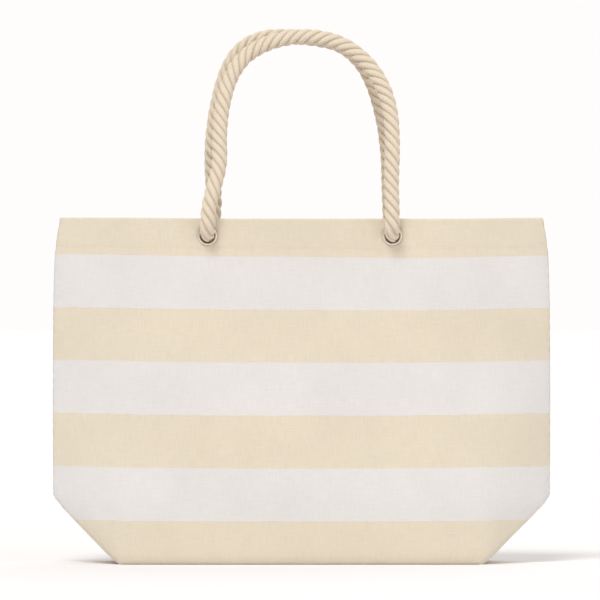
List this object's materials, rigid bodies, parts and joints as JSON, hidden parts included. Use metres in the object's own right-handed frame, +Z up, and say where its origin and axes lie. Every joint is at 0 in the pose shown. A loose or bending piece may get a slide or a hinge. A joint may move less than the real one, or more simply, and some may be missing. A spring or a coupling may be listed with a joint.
{
  "type": "beach bag",
  "caption": "Wide striped canvas beach tote with a boxed base, an open hemmed mouth, metal eyelets and knotted rope handles that swing.",
  "frame": {"origin": "centre of the base, on the floor", "axes": "+Z up through the mouth, +X to the bag's right as seen from the front, -Y out of the front panel"},
  "size_m": [0.54, 0.143, 0.5813],
  "materials": {
    "canvas": "woven cotton canvas in broad beige and off-white stripes",
    "seam_tape": "cotton binding tape, stitched",
    "eyelet_metal": "polished nickel",
    "rope": "laid cotton rope, matt, natural"
  },
  "bodies": {
    "bag": {"back_left_eyelet": "eyelet_metal", "back_left_eyelet_washer": "eyelet_metal", "back_left_stopper_knot": "rope", "back_mouth_hem": "canvas", "back_panel": "canvas", "back_right_eyelet": "eyelet_metal", "back_right_eyelet_washer": "eyelet_metal", "back_right_stopper_knot": "rope", "base_seam": "seam_tape", "front_left_eyelet": "eyelet_metal", "front_left_eyelet_washer": "eyelet_metal", "front_left_stopper_knot": "rope", "front_mouth_hem": "canvas", "front_panel": "canvas", "front_right_eyelet": "eyelet_metal", "front_right_eyelet_washer": "eyelet_metal", "front_right_stopper_knot": "rope", "left_corner_seam": "seam_tape", "left_side_seam": "seam_tape", "right_corner_seam": "seam_tape", "right_side_seam": "seam_tape"},
    "front_handle": {"front_handle_rope": "rope"},
    "back_handle": {"back_handle_rope": "rope"}
  },
  "joints": [
    {"name": "front_handle_swing", "type": "hinge", "parent": "bag", "child": "front_handle", "pos_m": [0, -0.0587, 0.355], "axis": [1, 0, 0], "range_deg": [0, 172]},
    {"name": "back_handle_swing", "type": "hinge", "parent": "bag", "child": "back_handle", "pos_m": [0, 0.0587, 0.355], "axis": [-1, 0, 0], "range_deg": [0, 172]}
  ]
}
